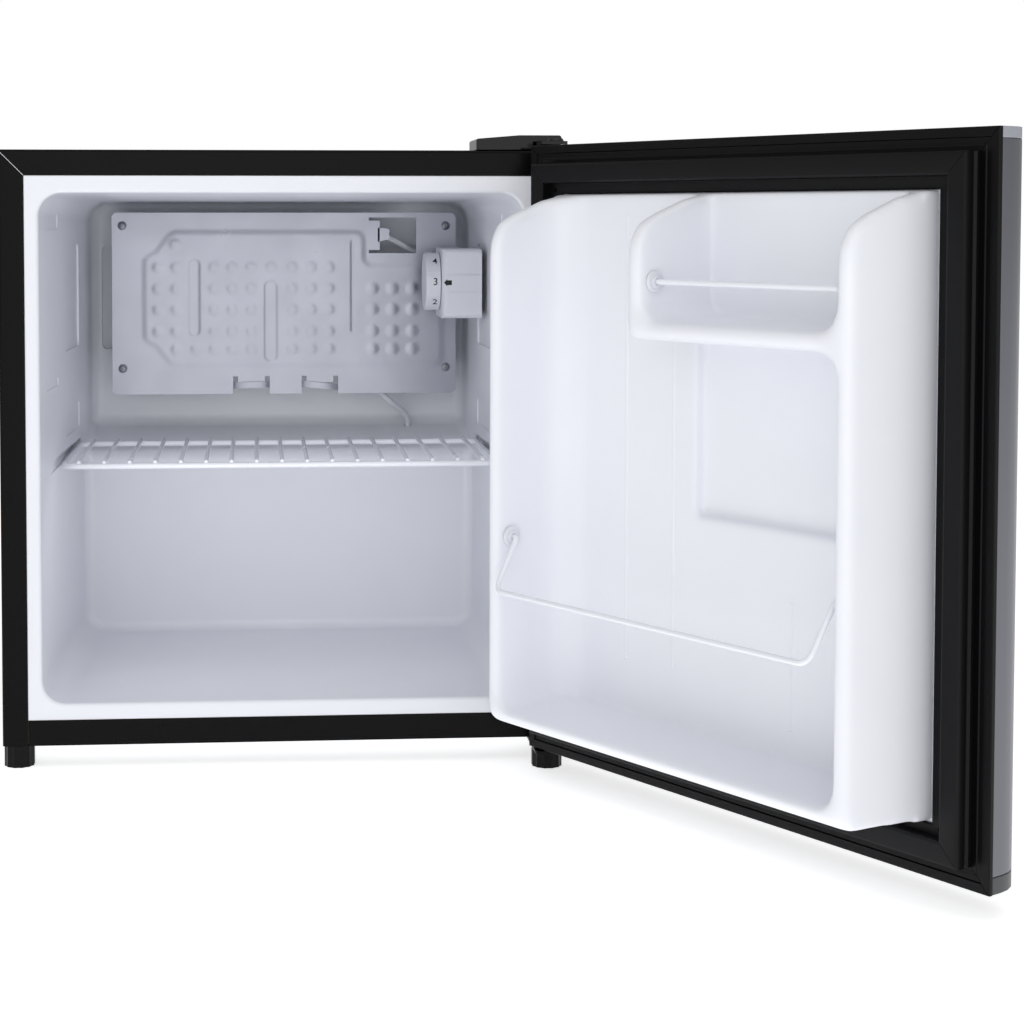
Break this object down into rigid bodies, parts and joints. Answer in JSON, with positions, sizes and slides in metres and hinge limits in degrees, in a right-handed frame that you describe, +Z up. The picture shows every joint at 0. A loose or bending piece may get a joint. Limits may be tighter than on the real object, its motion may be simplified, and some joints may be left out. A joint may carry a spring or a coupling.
{
  "type": "mini fridge",
  "caption": "Compact free-standing refrigerator with its door open: wire shelf, evaporator plate, thermostat dial and door pockets with rods.",
  "frame": {"origin": "centre of the whole object's box with the door open, at floor level", "axes": "+Z up, -Y towards someone who stands in front of the cabinet, +X to that person's right, where the door is hinged"},
  "size_m": [0.6658, 0.823, 0.4954],
  "materials": {
    "cabinet_black": "satin black paint",
    "liner_white": "smooth moulded white",
    "white_plastic": "smooth moulded off-white",
    "white_wire": "white coated wire",
    "galvanised_sheet": "galvanised sheet",
    "silver_skin": "satin silver paint",
    "cap_grey": "matte dark grey",
    "frame_black": "matte black",
    "cover_black": "glossy black",
    "rubber_black": "matte black",
    "plate_aluminium": "embossed satin aluminium",
    "zinc": "zinc plated",
    "foam": "rigid insulating foam",
    "magnet": "flexible magnet strip",
    "system_black": "black paint",
    "copper": "bare copper"
  },
  "bodies": {
    "cabinet": {"back_panel": "galvanised_sheet", "bottom_plate": "galvanised_sheet", "bottom_rail": "cabinet_black", "cabinet_foam": "foam", "cabinet_liner": "liner_white", "compartment_shell": "galvanised_sheet", "compressor": "system_black", "compressor_base": "galvanised_sheet", "compressor_grommet_front_left": "rubber_black", "compressor_grommet_front_right": "rubber_black", "compressor_grommet_rear_left": "rubber_black", "compressor_grommet_rear_right": "rubber_black", "condenser": "system_black", "cord_gland": "rubber_black", "evaporator_plate": "plate_aluminium", "filter_drier": "copper", "lower_hinge_bracket": "cabinet_black", "lower_hinge_pin": "zinc", "outer_wrapper": "cabinet_black", "plate_post_bottom_left": "white_plastic", "plate_post_bottom_right": "white_plastic", "plate_post_top_left": "white_plastic", "plate_post_top_right": "white_plastic", "plate_screw_bottom_left": "zinc", "plate_screw_bottom_right": "zinc", "plate_screw_top_left": "zinc", "plate_screw_top_right": "zinc", "rear_foot_left": "frame_black", "rear_foot_right": "frame_black", "relay_cover": "frame_black", "sensing_tube": "white_plastic", "suction_tube": "white_plastic", "thermostat_housing": "white_plastic", "thermostat_switch": "galvanised_sheet", "top_hinge_cover": "cover_black", "top_hinge_pin": "zinc", "top_hinge_plate": "zinc", "top_hinge_screw_left": "zinc", "top_hinge_screw_right": "zinc"},
    "door": {"door_skin": "silver_skin", "door_top_cap": "cap_grey", "door_bottom_cap": "cap_grey", "door_frame": "frame_black", "door_foam": "foam", "door_liner": "liner_white", "door_gasket": "rubber_black", "magnet_strip": "magnet", "top_hinge_bush": "white_plastic", "bottom_hinge_bush": "white_plastic", "shelf_rod": "white_wire", "rod_grommet_hinge_side": "white_plastic", "rod_grommet_free_side": "white_plastic", "bail_grommet_hinge_side": "white_plastic", "bail_grommet_free_side": "white_plastic"},
    "bottle_bail": {"bottle_bail": "white_wire"},
    "shelf": {"wire_shelf": "white_wire"},
    "dial": {"thermostat_dial": "white_plastic", "dial_shaft": "zinc"},
    "left_foot": {"front_foot_left": "frame_black"},
    "right_foot": {"front_foot_right": "frame_black"}
  },
  "joints": [
    {"name": "door_hinge", "type": "hinge", "parent": "cabinet", "child": "door", "pos_m": [0.09709, -0.03419, 0], "axis": [0, 0, 1], "range_deg": [-121.8, 13.2]},
    {"name": "bail_pivot", "type": "hinge", "parent": "door", "child": "bottle_bail", "pos_m": [0.13746, -0.25625, 0.197], "axis": [-0.527, 0.8499, 0], "range_deg": [-31, 100]},
    {"name": "shelf_slide", "type": "slide", "parent": "cabinet", "child": "shelf", "axis": [0, -1, 0], "range_m": [0, 0.15]},
    {"name": "thermostat_turn", "type": "hinge", "parent": "cabinet", "child": "dial", "pos_m": [0.02309, 0.22551, 0.3736], "axis": [1, 0, 0], "range_deg": [-135, 135]},
    {"name": "left_foot_screw", "type": "hinge", "parent": "cabinet", "child": "left_foot", "pos_m": [-0.32091, 0.00751, 0], "axis": [0, 0, 1], "continuous": true},
    {"name": "right_foot_screw", "type": "hinge", "parent": "cabinet", "child": "right_foot", "pos_m": [0.09309, -0.02349, 0], "axis": [0, 0, 1], "continuous": true}
  ]
}
